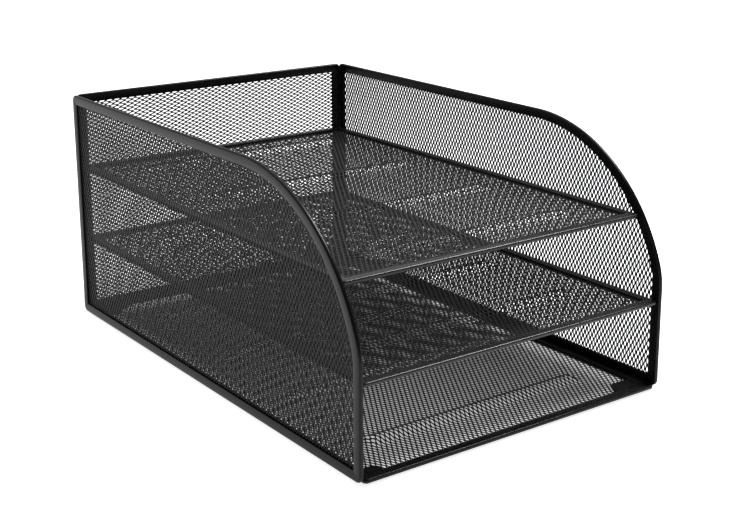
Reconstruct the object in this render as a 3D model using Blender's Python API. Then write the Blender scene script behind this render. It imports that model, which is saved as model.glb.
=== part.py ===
"""Three-tier letter tray in black coated steel.

Six panels are welded into one rigid tray: two D-shaped sides, a back, a bottom and two fixed shelves.
Each panel is a sheet of expanded mesh, made here as a thin solid sheet, held in a folded steel rim.
Four gussets close the bottom panel's corners, and four rubber feet are stuck under it.

Metres, +Z up. The front opening faces -Y, and Z = 0 is the surface that the feet stand on.
"""

import math

import bmesh
import bpy

# Overall size of the side panels, which set the tray's width, depth and height.
WIDTH = 0.238
DEPTH = 0.360
SIDE_HEIGHT = 0.1655

# Folded rim strip: a U channel with the mesh sheet in its slot.
RIM_WIDTH = 0.0065
RIM_WALL = 0.0007
RIM_BEND = 0.0010
RIM_BEND_STEPS = 3
GAP = 0.0003

# Mesh sheet, and the beads pressed up in the bottom and the shelves, placed from the tray's front.
SHEET = 0.0008
BEAD_HEIGHT = 0.0030
BEAD_HALF_WIDTH = 0.0085
BEAD_HALF_LENGTH = 0.0860
BEAD_END = 0.0090
BOTTOM_BEADS = (0.042, 0.126, 0.214, 0.310)
MIDDLE_BEADS = (0.050, 0.127, 0.215, 0.310)
UPPER_BEADS = (0.054, 0.136, 0.224, 0.320)

SLOT = SHEET + 2 * GAP
RIM_THICKNESS = SLOT + 2 * RIM_WALL
SHEET_INSET = RIM_WALL + GAP

# Side panel outline: straight top, one large arc down the front, and a smaller arc that runs smoothly
# into the short straight front edge.
ARC_RADIUS = 0.124
ARC_FROM_FRONT = 0.1197
ARC_STEPS = 16
BLEND_RADIUS = 0.050
BLEND_STEPS = 5
SIDE_CORNER = 0.0045
SIDE_SEAM_FROM_FRONT = 0.235

# Rectangular panels.
PANEL_CORNER = 0.0030
SMALLEST_CORNER = 0.0008
CORNER_STEPS = 4

# Heights of the panels' lower faces above the surface that the tray stands on.
SIDE_BOTTOM = 0.0022
BOTTOM_PANEL_Z = 0.0015
MIDDLE_SHELF_Z = 0.0586
UPPER_SHELF_Z = 0.1120

# How far each shelf's front edge is set back from the front of the side panels.
MIDDLE_SHELF_SETBACK = 0.0010
UPPER_SHELF_SETBACK = 0.0200

# Corner plates on the mesh inside the bottom rim: width, depth, and how far the inner side slants.
GUSSET = (0.0232, 0.0102, 0.0060)
FRONT_LEFT_GUSSET = (0.0092, 0.0066, 0.0012)

FOOT_RADIUS = 0.0048
FOOT_BEVEL = 0.0006
FOOT_SEGMENTS = 24
FOOT_FROM_SIDE = 0.0155
FOOT_FROM_END = 0.0120

INNER_WIDTH = WIDTH - 2 * (RIM_THICKNESS + GAP)
BACK_FACE = DEPTH / 2 - RIM_THICKNESS - GAP

UPRIGHT_SIDE = (math.pi / 2, 0, math.pi / 2)
UPRIGHT_BACK = (math.pi / 2, 0, 0)
FLAT = (0, 0, 0)

# Colour, roughness and metallic value of each finish.
COATED_RIM = ((0.020, 0.020, 0.021), 0.42, 0.0)
COATED_MESH = ((0.016, 0.016, 0.017), 0.50, 0.0)
COATED_SHEET = ((0.014, 0.014, 0.015), 0.46, 0.0)
BLACK_RUBBER = ((0.012, 0.012, 0.012), 0.85, 0.0)


def clear_scene():
    for obj in list(bpy.data.objects):
        bpy.data.objects.remove(obj, do_unlink=True)


def make_material(name, finish):
    color, roughness, metallic = finish
    material = bpy.data.materials.new(name)
    material.use_nodes = True
    shader = material.node_tree.nodes["Principled BSDF"]
    shader.inputs["Base Color"].default_value = (*color, 1)
    shader.inputs["Roughness"].default_value = roughness
    shader.inputs["Metallic"].default_value = metallic
    return material


def add_object(name, mesh, finish, location, rotation, parent):
    """A new object for this sub-part, with a material of its own on the object's slot."""
    obj = bpy.data.objects.new(name, mesh)
    bpy.context.scene.collection.objects.link(obj)
    obj.parent = parent
    obj.location = location
    obj.rotation_euler = rotation
    obj.material_slots[0].link = "OBJECT"
    obj.material_slots[0].material = make_material(name, finish)
    return obj


def finish_mesh(name, bm):
    """Turns the bmesh into a mesh with outward faces, smooth where it is round, and one empty slot."""
    bmesh.ops.recalc_face_normals(bm, faces=bm.faces)
    mesh = bpy.data.meshes.new(name)
    bm.to_mesh(mesh)
    bm.free()
    mesh.shade_smooth()
    mesh.set_sharp_from_angle(angle=math.radians(35))
    mesh.materials.append(None)
    return mesh


def arc(center, radius, start, end, steps):
    """Points on an arc, angles in radians, both ends included."""
    angles = [start + (end - start) * i / steps for i in range(steps + 1)]
    return [(center[0] + radius * math.cos(a), center[1] + radius * math.sin(a)) for a in angles]


def corner_arc(corner, sign_x, sign_y, radius):
    """The rounding of a convex corner whose edges run along the axes, anticlockwise."""
    start = {(1, -1): -90, (1, 1): 0, (-1, 1): 90, (-1, -1): 180}[sign_x, sign_y]
    center = (corner[0] - sign_x * radius, corner[1] - sign_y * radius)
    return arc(center, radius, math.radians(start), math.radians(start + 90), CORNER_STEPS)


def side_outline(inset):
    """The side panel's outline moved in by inset, anticlockwise from one side of the strip's butt joint
    to the other. The first coordinate runs from the front edge to the back, the second up."""
    round_ = max(SIDE_CORNER - inset, SMALLEST_CORNER)
    low, high = inset, SIDE_HEIGHT - inset
    front, back = inset, DEPTH - inset
    center = (ARC_FROM_FRONT, SIDE_HEIGHT - ARC_RADIUS)
    across = ARC_FROM_FRONT - BLEND_RADIUS
    down = math.sqrt((ARC_RADIUS - BLEND_RADIUS) ** 2 - across ** 2)
    meeting = math.pi - math.atan2(down, across)
    blend_center = (BLEND_RADIUS, center[1] + down)
    points = [(SIDE_SEAM_FROM_FRONT + GAP / 2, low)]
    points += corner_arc((back, low), 1, -1, round_)
    points += corner_arc((back, high), 1, 1, round_)
    points += arc(center, ARC_RADIUS - inset, math.pi / 2, meeting, ARC_STEPS)
    points += arc(blend_center, BLEND_RADIUS - inset, meeting, math.pi, BLEND_STEPS)[1:]
    points += corner_arc((front, low), -1, -1, round_)
    points += [(SIDE_SEAM_FROM_FRONT - GAP / 2, low)]
    return points


def panel_outline(width, height, inset):
    """A rectangle about the origin moved in by inset, anticlockwise. Its butt joint is in the middle of
    the edge at +Y."""
    round_ = max(PANEL_CORNER - inset, SMALLEST_CORNER)
    x, y = width / 2 - inset, height / 2 - inset
    points = [(-GAP / 2, y)]
    points += corner_arc((-x, y), -1, 1, round_)
    points += corner_arc((-x, -y), -1, -1, round_)
    points += corner_arc((x, -y), 1, -1, round_)
    points += corner_arc((x, y), 1, 1, round_)
    points += [(GAP / 2, y)]
    return points


def rim_section():
    """The folded strip's section as (inset from the outer edge, height off the panel's middle plane)."""
    half, slot = RIM_THICKNESS / 2, SLOT / 2
    upper_bend = arc((RIM_BEND, half - RIM_BEND), RIM_BEND, math.pi, math.pi / 2, RIM_BEND_STEPS)
    upper = [*upper_bend, (RIM_WIDTH, half), (RIM_WIDTH, slot), (RIM_WALL, slot)]
    lower = [(inset, -height) for inset, height in reversed(upper)]
    return upper + lower


def rim_mesh(name, outline):
    """The U channel swept round an outline function of the inset, open at the butt joint."""
    section = rim_section()
    bm = bmesh.new()
    rows = [[bm.verts.new((*point, height)) for point in outline(inset)] for inset, height in section]
    for row, next_row in zip(rows, rows[1:] + rows[:1]):
        for i in range(len(row) - 1):
            bm.faces.new((row[i], row[i + 1], next_row[i + 1], next_row[i]))
    for end in (0, -1):
        bm.faces.new([row[end] for row in rows])
    return finish_mesh(name, bm)


def flat_mesh(name, points):
    """One flat face with this outline, for a Solidify modifier to thicken."""
    bm = bmesh.new()
    bm.faces.new([bm.verts.new((*point, 0)) for point in points])
    return finish_mesh(name, bm)


def bead_height(x, y, beads):
    """Height of the pressed beads at a point of the sheet: full along each crest, zero at its foot."""
    across = max(1 - abs(y - bead) / BEAD_HALF_WIDTH for bead in beads)
    along = (BEAD_HALF_LENGTH - abs(x)) / BEAD_END
    rise = max(0.0, min(across, along, 1.0))
    return BEAD_HEIGHT * math.sin(rise * math.pi / 2)


def beaded_mesh(name, width, depth, beads):
    """A sheet about the origin with rounded corners and beads across it, for a Solidify modifier."""
    x_end, y_end = width / 2 - SHEET_INSET, depth / 2 - SHEET_INSET
    round_ = PANEL_CORNER - SHEET_INSET
    bead_ends = [BEAD_HALF_LENGTH - BEAD_END * share for share in (0, 0.5, 1)]
    half_xs = [x_end, x_end - round_, *bead_ends]
    xs = [-x for x in half_xs] + half_xs[::-1]
    ys = [-y_end, -y_end + round_]
    for bead in beads:
        ys += [bead + BEAD_HALF_WIDTH * share for share in (-1, -0.5, 0, 0.5, 1)]
    ys += [y_end - round_, y_end]
    bm = bmesh.new()
    grid = [[bm.verts.new((x, y, bead_height(x, y, beads))) for x in xs] for y in ys]
    last_row, last_column = len(ys) - 1, len(xs) - 1
    for j in range(last_row):
        for i in range(last_column):
            if i in (0, last_column - 1) and j in (0, last_row - 1):
                continue
            bm.faces.new((grid[j][i], grid[j][i + 1], grid[j + 1][i + 1], grid[j + 1][i]))
    for i, j, sign_x, sign_y in ((0, 0, -1, -1), (last_column, 0, 1, -1),
                                 (last_column, last_row, 1, 1), (0, last_row, -1, 1)):
        inner = grid[j - sign_y][i - sign_x]
        along_x, along_y = grid[j][i - sign_x], grid[j - sign_y][i]
        rounding = corner_arc((xs[i], ys[j]), sign_x, sign_y, round_)[1:-1]
        ends = (along_x, along_y) if sign_x != sign_y else (along_y, along_x)
        middle = [bm.verts.new((*point, 0)) for point in rounding]
        bm.faces.new([inner, ends[0], *middle, ends[1]])
        bm.verts.remove(grid[j][i])
    return finish_mesh(name, bm)


def thicken(obj, thickness):
    solid = obj.modifiers.new("thickness", "SOLIDIFY")
    solid.thickness = thickness
    solid.offset = 0
    solid.use_even_offset = True


def add_side_panels(tray):
    rim = rim_mesh("side_rim", side_outline)
    sheet = flat_mesh("side_mesh", side_outline(SHEET_INSET))
    for side, sign in (("left", -1), ("right", 1)):
        place = (sign * (WIDTH - RIM_THICKNESS) / 2, -DEPTH / 2, SIDE_BOTTOM)
        add_object(f"{side}_side_rim", rim, COATED_RIM, place, UPRIGHT_SIDE, tray)
        mesh = add_object(f"{side}_side_mesh", sheet, COATED_MESH, place, UPRIGHT_SIDE, tray)
        thicken(mesh, SHEET)


def add_back_panel(tray):
    place = (0, (DEPTH - RIM_THICKNESS) / 2, SIDE_BOTTOM + SIDE_HEIGHT / 2)

    def outline(inset):
        return panel_outline(INNER_WIDTH, SIDE_HEIGHT, inset)

    add_object("back_rim", rim_mesh("back_rim", outline), COATED_RIM, place, UPRIGHT_BACK, tray)
    sheet = flat_mesh("back_mesh", outline(SHEET_INSET))
    thicken(add_object("back_mesh", sheet, COATED_MESH, place, UPRIGHT_BACK, tray), SHEET)


def add_level_panel(tray, name, bottom, setback, beads_from_front):
    """A beaded panel that lies level between the sides, from its setback to the back panel."""
    front = -DEPTH / 2 + setback
    depth = BACK_FACE - front
    place = (0, front + depth / 2, bottom + RIM_THICKNESS / 2)

    def outline(inset):
        return panel_outline(INNER_WIDTH, depth, inset)

    add_object(f"{name}_rim", rim_mesh(f"{name}_rim", outline), COATED_RIM, place, FLAT, tray)
    beads = [-DEPTH / 2 + bead - place[1] for bead in beads_from_front]
    sheet = beaded_mesh(f"{name}_mesh", INNER_WIDTH, depth, beads)
    thicken(add_object(f"{name}_mesh", sheet, COATED_MESH, place, FLAT, tray), SHEET)


def gusset_mesh(sign_x, sign_y):
    """A corner plate whose outer corner is at the origin and points to this quadrant."""
    front_left = sign_x < 0 and sign_y < 0
    width, depth, slant = FRONT_LEFT_GUSSET if front_left else GUSSET
    points = [(0, 0), (width, 0), (width - slant, depth), (0, depth)]
    return flat_mesh("gusset", [(-sign_x * x, -sign_y * y) for x, y in points])


def foot_mesh(height):
    """A low round rubber pad standing on Z = 0, with a small bevel round its sole."""
    bm = bmesh.new()
    bmesh.ops.create_cone(bm, cap_ends=True, segments=FOOT_SEGMENTS, radius1=FOOT_RADIUS,
                          radius2=FOOT_RADIUS, depth=height)
    bmesh.ops.translate(bm, vec=(0, 0, height / 2), verts=bm.verts)
    sole = [edge for edge in bm.edges if all(vert.co.z < height / 2 for vert in edge.verts)]
    bmesh.ops.bevel(bm, geom=sole, offset=FOOT_BEVEL, segments=2, affect="EDGES", profile=0.5)
    return finish_mesh("foot", bm)


def add_corners(tray):
    """The gussets lie on the bottom mesh inside its rim, and the feet are stuck under the same corners."""
    gusset_z = BOTTOM_PANEL_Z + RIM_THICKNESS / 2 + SHEET + GAP
    foot = foot_mesh(BOTTOM_PANEL_Z + (RIM_THICKNESS - SHEET) / 2 - GAP)
    corners = {"front_left": (-1, -1), "front_right": (1, -1), "rear_left": (-1, 1), "rear_right": (1, 1)}
    for name, (sign_x, sign_y) in corners.items():
        end = DEPTH / 2 if sign_y < 0 else BACK_FACE
        inset = RIM_WIDTH + GAP
        place = (sign_x * (INNER_WIDTH / 2 - inset), sign_y * (end - inset), gusset_z)
        gusset = gusset_mesh(sign_x, sign_y)
        thicken(add_object(f"{name}_gusset", gusset, COATED_SHEET, place, FLAT, tray), SHEET)
        place = (sign_x * (INNER_WIDTH / 2 - FOOT_FROM_SIDE), sign_y * (end - FOOT_FROM_END), 0)
        add_object(f"{name}_foot", foot, BLACK_RUBBER, place, FLAT, tray)


def main():
    clear_scene()
    tray = bpy.data.objects.new("letter_tray", None)
    bpy.context.scene.collection.objects.link(tray)
    add_side_panels(tray)
    add_back_panel(tray)
    add_level_panel(tray, "bottom", BOTTOM_PANEL_Z, 0.0, BOTTOM_BEADS)
    add_level_panel(tray, "middle_shelf", MIDDLE_SHELF_Z, MIDDLE_SHELF_SETBACK, MIDDLE_BEADS)
    add_level_panel(tray, "upper_shelf", UPPER_SHELF_Z, UPPER_SHELF_SETBACK, UPPER_BEADS)
    add_corners(tray)


main()
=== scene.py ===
"""Looks of the three-tier letter tray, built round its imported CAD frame.

The expanded mesh sheets are made here as real lattices of strands, and the folded rims, gussets and feet as
finer solids in the places of their CAD nodes. Metres, +Z up, with the open front facing -Y.
"""

import math

import bmesh
import bpy
import numpy as np
from mathutils import Matrix, Vector


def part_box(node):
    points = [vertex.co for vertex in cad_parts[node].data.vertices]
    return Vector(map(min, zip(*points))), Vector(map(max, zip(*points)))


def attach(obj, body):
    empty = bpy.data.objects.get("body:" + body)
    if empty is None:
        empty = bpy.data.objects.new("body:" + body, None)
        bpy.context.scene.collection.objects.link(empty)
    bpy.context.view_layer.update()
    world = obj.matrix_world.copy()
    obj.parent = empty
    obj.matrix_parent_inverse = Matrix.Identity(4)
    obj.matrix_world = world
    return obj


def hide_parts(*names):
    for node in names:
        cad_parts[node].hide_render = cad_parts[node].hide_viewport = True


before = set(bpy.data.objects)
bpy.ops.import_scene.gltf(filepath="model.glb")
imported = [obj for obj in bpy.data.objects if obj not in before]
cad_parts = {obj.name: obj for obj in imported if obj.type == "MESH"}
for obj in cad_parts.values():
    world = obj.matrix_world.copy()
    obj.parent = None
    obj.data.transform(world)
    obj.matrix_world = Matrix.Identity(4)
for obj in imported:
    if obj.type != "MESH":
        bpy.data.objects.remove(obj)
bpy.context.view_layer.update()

# Camera: its place, its turn, downward tilt and roll in degrees, its sensor and lens in millimetres, and
# the small shift that the framing needs.
CAMERA_AT = (-0.5205, -0.7458, 0.3519)
CAMERA_TURN = (-35.848, 14.679, -0.197)
CAMERA_SENSOR = 36
CAMERA_LENS = 66.84
CAMERA_SHIFT = -0.10
CAMERA_CLIP = (0.01, 100)

# Panel shapes that a node's box doesn't give.
SIDE_CORNER = 0.0045
PANEL_CORNER = 0.0030
LEAST_CORNER = 0.0006
ARC_RADIUS = 0.124
ARC_FROM_FRONT = 0.1197
BLEND_RADIUS = 0.050
SIDE_SEAM_FROM_FRONT = 0.235

# Folded rim strip.
RIM_WIDTH = 0.0065
RIM_WALL = 0.0007
RIM_BEND = 0.0011
LIP_ROUND = 0.00025
SEAM_GAP = 0.00025
BEND_STEPS = 6
LIP_STEPS = 2
CORNER_STEPS = 8
ARC_STEPS = 60
BLEND_STEPS = 14
SHARP_ANGLE = 40

# Expanded mesh of each sheet: the short way and the long way of a diamond, the share of the short way that
# is metal, and how far the edges of the leaning strands stand off the middle plane.
SIDE_MESH = (0.00339, 0.00588, 0.590, 0.00005)
LEVEL_MESH = (0.00340, 0.00580, 0.50, 0.0)
BACK_MESH = (0.00303, 0.00602, 0.606, 0.0)
BOND_LENGTH = 0.0012
STRAND_THICKNESS = 0.00032
SHEET_INSET = 0.0011
FIRST_HOLE_INSET = 0.0042
FLAT_INSET = 0.0050
FULL_TILT_INSET = 0.0080
SPARE_HOLES = 3
HOLE_CORNERS = 6
# A level sheet is cut in two this share of a diamond past its middle, clear of the middle of every face.
CUT_SHIFT = 0.625

# Beads pressed up in the level sheets.
BEAD_HEIGHT = 0.0030
BEAD_HALF_WIDTH = 0.0085
BEAD_HALF_LENGTH = 0.0860
BEAD_END = 0.0090
BEADS_FROM_FRONT = {
    "bottom": (0.042, 0.126, 0.214, 0.310),
    "middle_shelf": (0.050, 0.127, 0.215, 0.310),
    "upper_shelf": (0.054, 0.136, 0.224, 0.320),
}

# Powder coats: darkest and lightest base colour, roughness and IOR of each.
RIM_COAT = ((0.0030, 0.0030, 0.0033), (0.0060, 0.0060, 0.0064), 0.27, 1.235)
# The shelf rims take a copy of the rim coat painted lighter, which is painted light on the shelves' rails;
# its higher IOR gives them a stronger highlight.
SHELF_RIM_PAINTED_LIGHT_COAT = ((0.0080, 0.0080, 0.0083), (0.0120, 0.0120, 0.0125), 0.27, 1.36)
UPRIGHT_MESH_COAT = ((0.0030, 0.0030, 0.0033), (0.0060, 0.0060, 0.0064), 0.45, 1.25)
# The level sheets take a copy of the mesh coat painted several times lighter, as painted light falling on
# their tops.
LEVEL_MESH_PAINTED_LIGHT_COAT = ((0.0210, 0.0210, 0.0215), (0.0250, 0.0250, 0.0258), 0.45, 1.25)
PLATE_COAT = ((0.0030, 0.0030, 0.0033), (0.0055, 0.0055, 0.0060), 0.38, 1.25)

# Where the values of noise mostly lie.
NOISE_RANGE = (0.3, 0.7)

# What all the powder coats share: where the two colours lie on the mix of clouds and speckles, the sizes of
# the clouds, speckles and orange peel, and how far the roughness swings with each of the first two.
COAT_TONES = (0.15, 0.85)
CLOUD_SIZE = 0.030
CLOUD_SHARE = 0.6
CLOUD_ROUGHNESS = 0.02
SPECKLE_SIZE = 0.0009
SPECKLE_ROUGHNESS = 0.03
PEEL_SIZE = 0.0007
PEEL_SPOT_SIZE = 0.0004
PEEL_SPOT_SHARE = 0.5
PEEL_HEIGHT = 0.000012

# Rubber: bare and dusty colour, where the dust starts and ends on its noise, roughness and moulded grain.
RUBBER_COLORS = ((0.010, 0.010, 0.010), (0.030, 0.029, 0.027))
DUST_TONES = (0.35, 0.80)
DUST_SIZE = 0.0030
RUBBER_ROUGHNESS = (0.75, 0.92)
RUBBER_GRAIN_SIZE = 0.00035
RUBBER_GRAIN_HEIGHT = 0.00003

# Table paint.
TABLE_SIZE = 12
TABLE_SQUARES = 8
TABLE_COLORS = ((0.87, 0.87, 0.87), (0.90, 0.90, 0.90))
TABLE_CLOUD_SIZE = 0.25
TABLE_ROUGHNESS = 0.9
TABLE_SPECULAR = 0.1

# Light painted into the open table as a glow: its strength, and the strength it fades to over this stretch
# of the way to the front right.
TABLE_GLOW = 0.85
TABLE_DARK_GLOW = 0.15
TABLE_DARK_SIDE = (0.642, -0.767)
TABLE_FADE = (0.29, 0.46)

# Painted shadow of the tray in the table's glow under it: its strengths at the two ends of a stretch that
# runs to the rear right, and how far past the bottom panel's edge it takes over from the open table's
# (negative is inside).
TABLE_SHADE = (0.37, 0.08)
TABLE_SHADE_WAY = (0.55, 1.0)
TABLE_SHADE_AT = (-0.15, 0.02)
TABLE_SHADE_EDGE = (-0.020, -0.006)

# Softboxes: the way to each one from the target, its distance, side and radiance.
SOFTBOX_TARGET = (0, 0, 0.08)
OVERHEAD_SOFTBOX = ((0.05, 0.2, 1.0), 1.5, 1.6, 1.0)
KEY_SOFTBOX = ((0.54, -0.14, 0.79), 1.4, 0.45, 36.0)

# White tent: its strengths in front and behind, and where on the way back it changes.
TENT_GLOW = (0.10, 0.60)
TENT_FADE = (-0.4, 0.6)

# Gussets: how far the inner side slants and the roundings of the corners and of the edges.
GUSSET_SLANT = 0.0060
FRONT_LEFT_GUSSET_SLANT = 0.0012
GUSSET_ROUND = 0.0012
GUSSET_ROUND_STEPS = 5
GUSSET_BEVEL = 0.0002
GUSSET_BEVEL_STEPS = 2

# Feet: the rolled edge, and the sole's hollow with the shares of the radius between which it slopes out.
FOOT_BEVEL = 0.0009
FOOT_BEVEL_STEPS = 5
FOOT_HOLLOW = 0.00025
FOOT_HOLLOW_SLOPE = (0.45, 0.52)
FOOT_SEGMENTS = 48
FOOT_SHARP_ANGLE = 35
MERGE_DISTANCE = 0.00002

NEARLY_ZERO = 1e-9
LEVEL_TOLERANCE = 1e-7


def add_camera():
    data = bpy.data.cameras.new("camera")
    data.sensor_width = CAMERA_SENSOR
    data.lens = CAMERA_LENS
    data.shift_y = CAMERA_SHIFT
    data.clip_start, data.clip_end = CAMERA_CLIP
    camera = bpy.data.objects.new("camera", data)
    bpy.context.scene.collection.objects.link(camera)
    turn, tilt, roll = (math.radians(angle) for angle in CAMERA_TURN)
    camera.matrix_world = (
        Matrix.Translation(CAMERA_AT)
        @ Matrix.Rotation(turn, 4, "Z")
        @ Matrix.Rotation(math.pi / 2 - tilt, 4, "X")
        @ Matrix.Rotation(roll, 4, "Z")
    )
    bpy.context.scene.camera = camera


# ---------------------------------------------------------------- materials


class Nodes:
    """A new node material with short calls for its nodes and links."""

    def __init__(self, name):
        self.material = bpy.data.materials.new(name)
        self.material.use_nodes = True
        self.tree = self.material.node_tree
        self.shader = self.tree.nodes["Principled BSDF"]
        self.place = self.tree.nodes.new("ShaderNodeTexCoord").outputs["Object"]

    def noise(self, size, detail=2.0, roughness=0.5):
        """Noise whose features are about this size, in metres."""
        node = self.tree.nodes.new("ShaderNodeTexNoise")
        node.inputs["Scale"].default_value = 1 / size
        node.inputs["Detail"].default_value = detail
        node.inputs["Roughness"].default_value = roughness
        self.tree.links.new(self.place, node.inputs["Vector"])
        return node.outputs["Fac"]

    def spots(self, size):
        """Distance to the nearest of many scattered points about this far apart, in metres."""
        node = self.tree.nodes.new("ShaderNodeTexVoronoi")
        node.inputs["Scale"].default_value = 1 / size
        self.tree.links.new(self.place, node.inputs["Vector"])
        return node.outputs["Distance"]

    def ramp(self, value, stops):
        """A colour for each value, from two (position, colour) stops."""
        node = self.tree.nodes.new("ShaderNodeValToRGB")
        for element, (position, color) in zip(node.color_ramp.elements, stops):
            element.position = position
            element.color = (*color, 1)
        self.tree.links.new(value, node.inputs["Fac"])
        return node.outputs["Color"]

    def scaled(self, value, low, high, start=NOISE_RANGE[0], end=NOISE_RANGE[1]):
        """A number from low to high as value goes from start to end, or over the usual range of noise."""
        node = self.tree.nodes.new("ShaderNodeMapRange")
        node.inputs["From Min"].default_value = start
        node.inputs["From Max"].default_value = end
        node.inputs["To Min"].default_value = low
        node.inputs["To Max"].default_value = high
        self.tree.links.new(value, node.inputs["Value"])
        return node.outputs["Result"]

    def math(self, operation, first, second):
        node = self.tree.nodes.new("ShaderNodeMath")
        node.operation = operation
        self.tree.links.new(first, node.inputs[0])
        self.tree.links.new(second, node.inputs[1])
        return node.outputs["Value"]

    def vector(self, operation, value, constant=(0, 0, 0)):
        node = self.tree.nodes.new("ShaderNodeVectorMath")
        node.operation = operation
        node.inputs[1].default_value = constant
        self.tree.links.new(value, node.inputs[0])
        return node

    def split(self, vector):
        node = self.tree.nodes.new("ShaderNodeSeparateXYZ")
        self.tree.links.new(vector, node.inputs["Vector"])
        return node.outputs

    def bump(self, height, distance):
        node = self.tree.nodes.new("ShaderNodeBump")
        node.inputs["Distance"].default_value = distance
        self.tree.links.new(height, node.inputs["Height"])
        self.tree.links.new(node.outputs["Normal"], self.shader.inputs["Normal"])

    def link(self, value, socket):
        self.tree.links.new(value, self.shader.inputs[socket])


def powder_coat(name, dark, light, roughness, ior):
    """Satin black powder coat with a fine orange peel, fine speckles and a slightly uneven sheen."""
    nodes = Nodes(name)
    cloud = nodes.noise(CLOUD_SIZE, detail=4)
    speckle = nodes.noise(SPECKLE_SIZE)
    tone = nodes.math("ADD", nodes.scaled(cloud, 0, CLOUD_SHARE), nodes.scaled(speckle, 0, 1 - CLOUD_SHARE))
    nodes.link(nodes.ramp(tone, zip(COAT_TONES, (dark, light))), "Base Color")
    sheen = nodes.scaled(cloud, -CLOUD_ROUGHNESS, CLOUD_ROUGHNESS)
    grain = nodes.scaled(speckle, roughness - SPECKLE_ROUGHNESS, roughness + SPECKLE_ROUGHNESS)
    nodes.link(nodes.math("ADD", sheen, grain), "Roughness")
    spots = nodes.scaled(nodes.spots(PEEL_SPOT_SIZE), 0, PEEL_SPOT_SHARE, 0, 1)
    nodes.bump(nodes.math("ADD", nodes.noise(PEEL_SIZE, detail=1), spots), PEEL_HEIGHT)
    nodes.shader.inputs["IOR"].default_value = ior
    return nodes.material


def rubber(name):
    """Matt black rubber with a fine moulded grain and a little dust."""
    nodes = Nodes(name)
    dust = nodes.noise(DUST_SIZE, detail=5, roughness=0.65)
    nodes.link(nodes.ramp(dust, zip(DUST_TONES, RUBBER_COLORS)), "Base Color")
    nodes.link(nodes.scaled(dust, *RUBBER_ROUGHNESS), "Roughness")
    nodes.bump(nodes.noise(RUBBER_GRAIN_SIZE, detail=3), RUBBER_GRAIN_HEIGHT)
    return nodes.material


def lit_table(name):
    """Matt white table with a painted glow, lower under the tray as a painted shadow of it and fading
    beyond its front right.
    """
    nodes = Nodes(name)
    cloud = nodes.noise(TABLE_CLOUD_SIZE, detail=3)
    nodes.link(nodes.ramp(cloud, zip(NOISE_RANGE, TABLE_COLORS)), "Base Color")
    nodes.shader.inputs["Roughness"].default_value = TABLE_ROUGHNESS
    nodes.shader.inputs["Specular IOR Level"].default_value = TABLE_SPECULAR
    ahead = nodes.vector("DOT_PRODUCT", nodes.place, (*TABLE_DARK_SIDE, 0)).outputs["Value"]
    open_glow = nodes.scaled(ahead, TABLE_GLOW, TABLE_DARK_GLOW, *TABLE_FADE)
    reach = nodes.vector("ABSOLUTE", nodes.place).outputs["Vector"]
    panel_reach = (*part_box("bottom_rim")[1].xy, 0)
    past = nodes.split(nodes.vector("SUBTRACT", reach, panel_reach).outputs["Vector"])
    outside = nodes.scaled(nodes.math("MAXIMUM", past["X"], past["Y"]), 0, 1, *TABLE_SHADE_EDGE)
    inward = nodes.vector("DOT_PRODUCT", nodes.place, (*TABLE_SHADE_WAY, 0)).outputs["Value"]
    # The painted shadow under the tray: a lower glow there, lowest to the rear right.
    shade = nodes.scaled(inward, *TABLE_SHADE, *TABLE_SHADE_AT)
    blend = nodes.tree.nodes.new("ShaderNodeMix")
    for value, socket in ((outside, "Factor"), (shade, "A"), (open_glow, "B")):
        nodes.tree.links.new(value, blend.inputs[socket])
    nodes.shader.inputs["Emission Color"].default_value = (1, 1, 1, 1)
    nodes.link(blend.outputs["Result"], "Emission Strength")
    return nodes.material


# ---------------------------------------------------------------- panels


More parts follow.
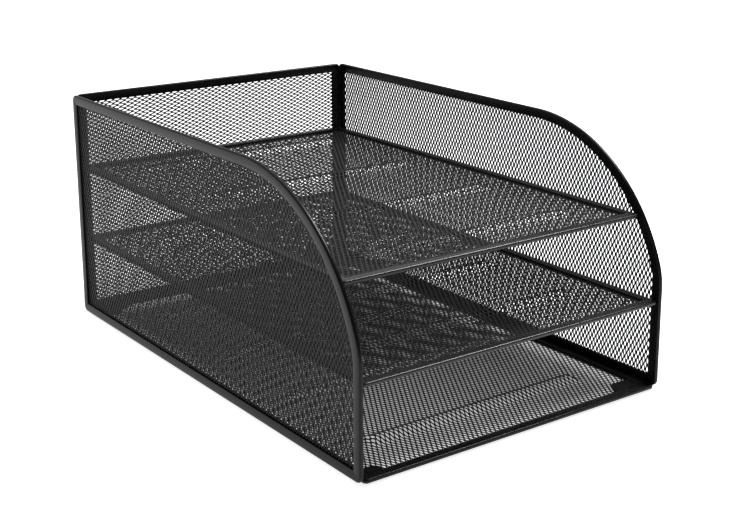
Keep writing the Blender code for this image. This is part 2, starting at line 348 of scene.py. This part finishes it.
class Panel:
    """A flat panel. Its own coordinates are a and b, from 0 to its size, with the normal along a x b."""

    def __init__(self, rim_node, along, up, corner, curved=False, seam=None):
        low, high = (np.array(point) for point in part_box(rim_node))
        self.a_axis, self.b_axis = np.array(along, float), np.array(up, float)
        self.normal = np.cross(self.a_axis, self.b_axis)
        size = high - low
        self.size = (float(size @ self.a_axis), float(size @ self.b_axis))
        self.thickness = float(abs(size @ self.normal))
        self.origin = low + self.normal * (((low + high) / 2 - low) @ self.normal)
        self.corner = corner
        self.arcs = side_arcs(self.size[1]) if curved else []
        self.seam = seam

    def world(self, points):
        """World places of rows of (a, b, height off the middle plane)."""
        points = np.asarray(points, float)
        axes = np.stack([self.a_axis, self.b_axis, self.normal])
        return self.origin + points @ axes

    def inset(self, a, b):
        """How far points are inside the outline, and the unit vectors that point straight out of it."""
        half = np.array(self.size) / 2
        offset = np.stack([a, b], -1) - half
        past = np.abs(offset) - (half - self.corner)
        out = np.maximum(past, 0)
        reach = np.hypot(out[..., 0], out[..., 1])
        inside = self.corner - reach - np.minimum(past.max(-1), 0)
        nearest = np.where(past == past.max(-1, keepdims=True), 1.0, 0.0)
        round_ = (past > 0).all(-1)[..., None]
        away = np.where(round_, out / np.maximum(reach, NEARLY_ZERO)[..., None], nearest)
        away = away * np.sign(offset)
        for center, radius, start, end, _ in self.arcs:
            from_center = np.stack([a, b], -1) - center
            distance = np.hypot(from_center[..., 0], from_center[..., 1])
            angle = np.arctan2(from_center[..., 1], from_center[..., 0])
            nearer = (angle >= start) & (angle <= end) & (radius - distance < inside)
            inside = np.where(nearer, radius - distance, inside)
            outward = from_center / np.maximum(distance, NEARLY_ZERO)[..., None]
            away = np.where(nearer[..., None], outward, away)
        return inside, away

    def held(self, a, b, least):
        """The same points, with any that are nearer than least to the outline moved straight in."""
        for _ in range(2):
            inside, away = self.inset(a, b)
            push = np.maximum(least - inside, 0)
            a, b = a - push * away[..., 0], b - push * away[..., 1]
        return a, b

    def outline(self, inset):
        """The outline moved in by inset, anticlockwise from one side of the butt joint to the other."""
        length, height = self.size
        round_ = max(self.corner - inset, LEAST_CORNER)
        left, right = inset, length - inset
        low, high = inset, height - inset
        if self.arcs:
            points = [(self.seam + SEAM_GAP / 2, low)]
            points += corner_arc((right, low), 1, -1, round_)
            points += corner_arc((right, high), 1, 1, round_)
            front = [arc(center, radius - inset, *span) for center, radius, *span in self.arcs]
            points += front[0] + front[1][1:]
            points += corner_arc((left, low), -1, -1, round_)
            points += [(self.seam - SEAM_GAP / 2, low)]
            return points
        points = [(length / 2 - SEAM_GAP / 2, high)]
        points += corner_arc((left, high), -1, 1, round_)
        points += corner_arc((left, low), -1, -1, round_)
        points += corner_arc((right, low), 1, -1, round_)
        points += corner_arc((right, high), 1, 1, round_)
        points += [(length / 2 + SEAM_GAP / 2, high)]
        return points


def side_arcs(height):
    """The arcs of a side panel's front as (center, radius, start, end, steps).

    The large arc comes down from the straight top, and a smaller one runs smoothly on into the straight
    front edge.
    """
    large = (ARC_FROM_FRONT, height - ARC_RADIUS)
    across = ARC_FROM_FRONT - BLEND_RADIUS
    down = math.sqrt((ARC_RADIUS - BLEND_RADIUS) ** 2 - across ** 2)
    meeting = math.pi - math.atan2(down, across)
    small = (BLEND_RADIUS, large[1] + down)
    return [
        (large, ARC_RADIUS, math.pi / 2, meeting, ARC_STEPS),
        (small, BLEND_RADIUS, meeting, math.pi, BLEND_STEPS),
    ]


def arc(center, radius, start, end, steps):
    """Points on an arc, angles in radians, both ends included."""
    angles = [start + (end - start) * i / steps for i in range(steps + 1)]
    return [(center[0] + radius * math.cos(a), center[1] + radius * math.sin(a)) for a in angles]


def corner_arc(corner, sign_a, sign_b, radius):
    """The rounding of a convex corner whose edges run along the axes, anticlockwise."""
    start = {(1, -1): -90, (1, 1): 0, (-1, 1): 90, (-1, -1): 180}[sign_a, sign_b]
    center = (corner[0] - sign_a * radius, corner[1] - sign_b * radius)
    return arc(center, radius, math.radians(start), math.radians(start + 90), CORNER_STEPS)


# ---------------------------------------------------------------- pieces


def add_piece(name, mesh, material, slot, *nodes):
    """Adds a piece in the row frame that rides on the tray and stands for these CAD nodes."""
    piece = bpy.data.objects.new(name, mesh)
    bpy.context.scene.collection.objects.link(piece)
    mesh.materials.append(material)
    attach(piece, "root")
    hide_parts(*nodes)


def rim_section(panel):
    """The folded strip's section as (inset from the outer edge, height off the middle plane)."""
    half = panel.thickness / 2
    slot = half - RIM_WALL
    bend = arc((RIM_BEND, half - RIM_BEND), RIM_BEND, math.pi, math.pi / 2, BEND_STEPS)
    lip = arc((RIM_WIDTH - LIP_ROUND, half - LIP_ROUND), LIP_ROUND, math.pi / 2, 0, LIP_STEPS)
    upper = [*bend, *lip, (RIM_WIDTH, slot), (RIM_WALL, slot)]
    return upper + [(inset, -height) for inset, height in reversed(upper)]


def rim_mesh(name, panel):
    """The folded strip swept round the panel, open at its butt joint."""
    bm = bmesh.new()
    rows = []
    for inset, height in rim_section(panel):
        places = panel.world([(*point, height) for point in panel.outline(inset)])
        rows.append([bm.verts.new(place) for place in places])
    for row, next_row in zip(rows, rows[1:] + rows[:1]):
        for i in range(len(row) - 1):
            bm.faces.new((row[i], row[i + 1], next_row[i + 1], next_row[i]))
    for end in (0, -1):
        bm.faces.new([row[end] for row in rows])
    return finished(name, bm, SHARP_ANGLE)


def finished(name, bm, sharp_degrees):
    """A mesh from the bmesh, with outward faces, smooth except past this angle."""
    bmesh.ops.recalc_face_normals(bm, faces=bm.faces)
    mesh = bpy.data.meshes.new(name)
    bm.to_mesh(mesh)
    bm.free()
    mesh.shade_smooth()
    mesh.set_sharp_from_angle(angle=math.radians(sharp_degrees))
    return mesh


def mesh_from_arrays(name, points, faces):
    """A smooth mesh from an array of points and a list of arrays of faces, one array for each face size."""
    mesh = bpy.data.meshes.new(name)
    sizes = np.concatenate([np.full(len(group), group.shape[1]) for group in faces])
    corners = np.concatenate([group.ravel() for group in faces])
    mesh.vertices.add(len(points))
    mesh.vertices.foreach_set("co", points.astype(np.float32).ravel())
    mesh.loops.add(len(corners))
    mesh.loops.foreach_set("vertex_index", corners.astype(np.int32))
    mesh.polygons.add(len(sizes))
    mesh.polygons.foreach_set("loop_start", (np.cumsum(sizes) - sizes).astype(np.int32))
    mesh.update(calc_edges=True)
    mesh.validate()
    mesh.shade_smooth()
    return mesh


def open_edges(faces):
    """The directed edges of these faces that no neighbouring face runs back along."""
    edges = np.concatenate(
        [np.stack([group, np.roll(group, -1, axis=1)], -1).reshape(-1, 2) for group in faces]
    )
    largest = edges.max() + 1
    forward = edges[:, 0].astype(np.int64) * largest + edges[:, 1]
    backward = edges[:, 1].astype(np.int64) * largest + edges[:, 0]
    return edges[~np.isin(forward, backward)]


def hole_centers(spans, short, long_):
    """The centres of the holes by column and row, and which rows are odd and stand half a diamond over."""
    columns = int(spans[0] / short / 2) + SPARE_HOLES
    rows = int(spans[1] / long_) + SPARE_HOLES
    column, row = np.meshgrid(np.arange(-columns, columns + 1), np.arange(-rows, rows + 1), indexing="ij")
    odd = np.mod(row, 2)
    return np.stack([(column + odd / 2) * short, row * long_ / 2], -1) + spans / 2, odd


def lattice_faces(made, odd):
    """The metal round the holes that are made, as arrays of faces: bonds, right strands and left strands.

    A face is a row of corner numbers. A bond joins the holes of a row, and strands run from bond to bond
    between the rows.
    """
    first = np.arange(made.size).reshape(made.shape) * HOLE_CORNERS
    i, j = np.meshgrid(np.arange(1, made.shape[0] - 1), np.arange(1, made.shape[1] - 1), indexing="ij")
    shift = odd[i, j]
    near = {
        "self": (i, j), "right": (i + 1, j),
        "upper_right": (i + shift, j + 1), "upper_left": (i + shift - 1, j + 1),
        "lower_right": (i + shift, j - 1),
    }
    hole = {name: first[place] for name, place in near.items()}
    has = {name: made[place] for name, place in near.items()}

    bonds = np.stack([
        hole["lower_right"] + 2, hole["right"] + 4, hole["right"] + 3,
        hole["upper_right"] + 5, hole["self"] + 1, hole["self"],
    ], -1)
    right_strands = np.stack([
        hole["self"] + 1, hole["upper_right"] + 5, hole["upper_right"] + 4, hole["self"] + 2,
    ], -1)
    left_strands = np.stack([
        hole["self"] + 3, hole["self"] + 2, hole["upper_left"], hole["upper_left"] + 5,
    ], -1)
    return [
        bonds[has["self"] | has["right"] | has["upper_right"] | has["lower_right"]],
        right_strands[has["self"] | has["upper_right"]],
        left_strands[has["self"] | has["upper_left"]],
    ]


def lattice_parts(panel, cell, short_is_a, rise, cut=False):
    """Meshes of the expanded sheet as (points, faces), one for each side of the cut along the short way.

    Each hole is a hexagon that is longest the long way. Its corners are numbered from the lower right one
    anticlockwise. Where a cell has a tilt, all its strands lean the same way, as in sheet that is slit and
    drawn out, but the sheet lies flat where the rim grips it.
    """
    short, long_, metal, tilt = cell
    half_bond, half_hole = BOND_LENGTH / 2, (long_ - BOND_LENGTH) / 2
    half_width = short / 2 * (1 - metal)
    spans = np.array(panel.size if short_is_a else panel.size[::-1])
    centers, odd = hole_centers(spans, short, long_)
    corner = np.array([
        (half_width, -half_bond), (half_width, half_bond), (0, half_hole),
        (-half_width, half_bond), (-half_width, -half_bond), (0, -half_hole),
    ])
    lean = np.array([-1, -1, 0, 1, 1, 0]) * tilt
    places = centers[..., None, :] + corner
    a, b = (places[..., 0], places[..., 1]) if short_is_a else (places[..., 1], places[..., 0])
    a, b = panel.held(a, b, SHEET_INSET)
    inside = panel.inset(a, b)[0]
    freed = np.clip((inside - FLAT_INSET) / (FULL_TILT_INSET - FLAT_INSET), 0, 1)
    points = np.stack([a, b, lean * freed + rise(a, b)], -1).reshape(-1, 3)

    center_ab = (centers[..., 0], centers[..., 1]) if short_is_a else (centers[..., 1], centers[..., 0])
    made = panel.inset(*center_ab)[0] >= FIRST_HOLE_INSET
    made[[0, -1]] = made[:, [0, -1]] = False

    faces = lattice_faces(made, odd)
    along_short = places.reshape(-1, 2)[:, 0]
    cuts = [spans[0] / 2 + short * CUT_SHIFT] if cut else []
    limits = [-math.inf, *cuts, math.inf]
    parts = []
    for low, high in zip(limits, limits[1:]):
        chosen = []
        for group in faces:
            middle = along_short[group].mean(1)
            chosen.append(group[(middle >= low) & (middle < high)])
        parts.append(thickened(points, chosen))
    return parts


def thickened(points, faces):
    """A closed shell of the strand thickness from one layer of faces: points and faces."""
    used, index = np.unique(np.concatenate([group.ravel() for group in faces]), return_inverse=True)
    sizes = [group.size for group in faces]
    pieces = np.split(index, np.cumsum(sizes)[:-1])
    top = [piece.reshape(group.shape) for piece, group in zip(pieces, faces)]
    count = len(used)
    lift = np.array([0, 0, STRAND_THICKNESS / 2])
    both = np.concatenate([points[used] + lift, points[used] - lift])
    under = [group[:, ::-1] + count for group in top]
    edges = open_edges(top)
    walls = np.stack([edges[:, 1], edges[:, 0], edges[:, 0] + count, edges[:, 1] + count], -1)
    return both, [*top, *under, walls]


def bead_rise(beads, middle):
    """A function of (a, b) that gives the height of the pressed beads at a point of a level sheet.

    The beads run across the sheet at these distances along b, and middle is where a is half way.
    """

    def rise(a, b):
        across = np.max([1 - np.abs(b - bead) / BEAD_HALF_WIDTH for bead in beads], axis=0)
        along = (BEAD_HALF_LENGTH - np.abs(a - middle)) / BEAD_END
        share = np.clip(np.minimum(across, along), 0, 1)
        return BEAD_HEIGHT * np.sin(share * math.pi / 2) ** 2

    return rise


def no_rise(a, b):
    """The height of a sheet that has no beads."""
    return np.zeros_like(a)


def is_level(edge):
    start, end = edge.verts
    return abs(start.co.z - end.co.z) < LEVEL_TOLERANCE


def add_gusset(node, material):
    """A corner plate with rolled edges and a slanted inner side, in its CAD node's box."""
    low, high = (Vector(point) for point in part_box(node))
    sign_x = -1 if low.x < 0 else 1
    sign_y = -1 if low.y < 0 else 1
    width, depth = high.x - low.x, high.y - low.y
    corner = (high.x if sign_x > 0 else low.x, high.y if sign_y > 0 else low.y)
    slant = FRONT_LEFT_GUSSET_SLANT if sign_x < 0 and sign_y < 0 else GUSSET_SLANT
    outline = [(0, 0), (width, 0), (width - slant, depth), (0, depth)]
    bm = bmesh.new()
    base = [bm.verts.new((corner[0] - sign_x * x, corner[1] - sign_y * y, low.z)) for x, y in outline]
    bm.faces.new(base)
    top = bmesh.ops.extrude_face_region(bm, geom=list(bm.faces))["geom"]
    lifted = [item for item in top if isinstance(item, bmesh.types.BMVert)]
    bmesh.ops.translate(bm, vec=(0, 0, high.z - low.z), verts=lifted)
    upright = [edge for edge in bm.edges if not is_level(edge)]
    bmesh.ops.bevel(
        bm, geom=upright, offset=GUSSET_ROUND, segments=GUSSET_ROUND_STEPS, affect="EDGES", profile=0.5
    )
    rims = [edge for edge in bm.edges if is_level(edge)]
    bmesh.ops.bevel(
        bm, geom=rims, offset=GUSSET_BEVEL, segments=GUSSET_BEVEL_STEPS, affect="EDGES", profile=0.5
    )
    name = f"{node}_plate"
    add_piece(name, finished(name, bm, SHARP_ANGLE), material, "gusset_coating", node)


def add_foot(node, material):
    """A round pad with a rolled edge and a shallow hollow moulded in its sole."""
    low, high = (Vector(point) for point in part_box(node))
    radius, height = (high.x - low.x) / 2, high.z - low.z
    slope_start, slope_end = (radius * share for share in FOOT_HOLLOW_SLOPE)
    profile = [(0, FOOT_HOLLOW), (slope_start, FOOT_HOLLOW), (slope_end, 0)]
    profile += arc((radius - FOOT_BEVEL, FOOT_BEVEL), FOOT_BEVEL, -math.pi / 2, 0, FOOT_BEVEL_STEPS)
    profile += [(radius, height), (0, height)]
    bm = bmesh.new()
    line = [bm.verts.new((x, 0, z)) for x, z in profile]
    edges = [bm.edges.new(pair) for pair in zip(line, line[1:])]
    bmesh.ops.spin(
        bm, geom=line + edges, cent=(0, 0, 0), axis=(0, 0, 1), angle=math.tau, steps=FOOT_SEGMENTS,
        use_merge=True
    )
    bmesh.ops.remove_doubles(bm, verts=bm.verts, dist=MERGE_DISTANCE)
    bmesh.ops.translate(bm, vec=((low.x + high.x) / 2, (low.y + high.y) / 2, low.z), verts=bm.verts)
    name = f"{node}_pad"
    add_piece(name, finished(name, bm, FOOT_SHARP_ANGLE), material, "foot_rubber", node)


def add_sheet(node, panel, cell, short_is_a, rise, material, halves=()):
    """A sheet's expanded mesh, in one piece or in two named halves."""
    parts = lattice_parts(panel, cell, short_is_a, rise, cut=bool(halves))
    for ending, (points, faces) in zip(halves or ("lattice",), parts):
        name = f"{node}_{ending}"
        mesh = mesh_from_arrays(name, panel.world(points), faces)
        add_piece(name, mesh, material, "mesh_coating", node)


def add_tray():
    across, back, up = (1, 0, 0), (0, 1, 0), (0, 0, 1)
    rim_coat = powder_coat("rim_powder_coat", *RIM_COAT)
    # The shelf rims' coat is painted lighter than the other rims', as painted light on the shelves' rails.
    shelf_rim_painted_light_coat = powder_coat("shelf_rim_painted_light_powder_coat", *SHELF_RIM_PAINTED_LIGHT_COAT)
    upright_coat = powder_coat("upright_mesh_powder_coat", *UPRIGHT_MESH_COAT)
    # The level sheets' coat is painted lighter than the upright ones', as painted light falling on their
    # tops.
    level_painted_light_coat = powder_coat("level_mesh_painted_light_powder_coat", *LEVEL_MESH_PAINTED_LIGHT_COAT)
    plate_coat = powder_coat("plate_powder_coat", *PLATE_COAT)
    pad_rubber = rubber("foot_rubber")

    panels = {}
    for side in ("left", "right"):
        panels[f"{side}_side"] = Panel(
            f"{side}_side_rim", back, up, SIDE_CORNER, curved=True, seam=SIDE_SEAM_FROM_FRONT
        )
    panels["back"] = Panel("back_rim", across, up, PANEL_CORNER)
    for name in ("bottom", "middle_shelf", "upper_shelf"):
        panels[name] = Panel(f"{name}_rim", across, back, PANEL_CORNER)

    for name, panel in panels.items():
        # Shelf rims take the coat painted lighter, as painted light.
        coat = shelf_rim_painted_light_coat if "shelf" in name else rim_coat
        piece = f"{name}_rim_strip"
        add_piece(piece, rim_mesh(piece, panel), coat, "rim_coating", f"{name}_rim")

    *opening, tilt = SIDE_MESH
    for side, sign in (("left", 1), ("right", -1)):
        cell = (*opening, sign * tilt)
        add_sheet(f"{side}_side_mesh", panels[f"{side}_side"], cell, True, no_rise, upright_coat)
    add_sheet("back_mesh", panels["back"], BACK_MESH, False, no_rise, upright_coat)
    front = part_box("left_side_rim")[0].y
    for name, beads_from_front in BEADS_FROM_FRONT.items():
        panel = panels[name]
        beads = [front + bead - panel.origin[1] for bead in beads_from_front]
        rise = bead_rise(beads, panel.size[0] / 2)
        add_sheet(f"{name}_mesh", panel, LEVEL_MESH, True, rise, level_painted_light_coat, ("left_half", "right_half"))

    for end in ("front", "rear"):
        for side in ("left", "right"):
            add_gusset(f"{end}_{side}_gusset", plate_coat)
            add_foot(f"{end}_{side}_foot", pad_rubber)


# ---------------------------------------------------------------- studio


def add_floor():
    bm = bmesh.new()
    bmesh.ops.create_grid(bm, x_segments=TABLE_SQUARES, y_segments=TABLE_SQUARES, size=TABLE_SIZE)
    mesh = bpy.data.meshes.new("floor")
    bm.to_mesh(mesh)
    bm.free()
    mesh.materials.append(lit_table("floor_paint"))
    floor = bpy.data.objects.new("floor", mesh)
    bpy.context.scene.collection.objects.link(floor)


def add_softbox(name, direction, distance, size, radiance):
    """A square area light that faces the target from this direction, with this radiance."""
    data = bpy.data.lights.new(name, "AREA")
    data.shape = "SQUARE"
    data.size = size
    data.energy = math.pi * size * size * radiance
    light = bpy.data.objects.new(name, data)
    bpy.context.scene.collection.objects.link(light)
    toward = Vector(direction).normalized()
    facing = toward.to_track_quat("Z", "Y").to_matrix().to_4x4()
    light.matrix_world = Matrix.Translation(Vector(SOFTBOX_TARGET) + toward * distance) @ facing


def add_tent():
    """A world like a white tent that is bright behind the tray and nearly dark in front of it."""
    world = bpy.data.worlds.new("studio")
    world.use_nodes = True
    tree = world.node_tree
    place = tree.nodes.new("ShaderNodeTexCoord").outputs["Generated"]
    split = tree.nodes.new("ShaderNodeSeparateXYZ")
    fade = tree.nodes.new("ShaderNodeMapRange")
    fade.inputs["From Min"].default_value, fade.inputs["From Max"].default_value = TENT_FADE
    fade.inputs["To Min"].default_value, fade.inputs["To Max"].default_value = TENT_GLOW
    tree.links.new(place, split.inputs["Vector"])
    tree.links.new(split.outputs["Y"], fade.inputs["Value"])
    background = tree.nodes["Background"]
    background.inputs["Color"].default_value = (1, 1, 1, 1)
    tree.links.new(fade.outputs["Result"], background.inputs["Strength"])
    bpy.context.scene.world = world


def add_studio():
    add_floor()
    add_tent()
    add_softbox("overhead_softbox", *OVERHEAD_SOFTBOX)
    add_softbox("key_softbox", *KEY_SOFTBOX)
    bpy.context.scene.view_settings.view_transform = "Standard"


add_camera()
add_tray()
add_studio()
bpy.context.view_layer.update()
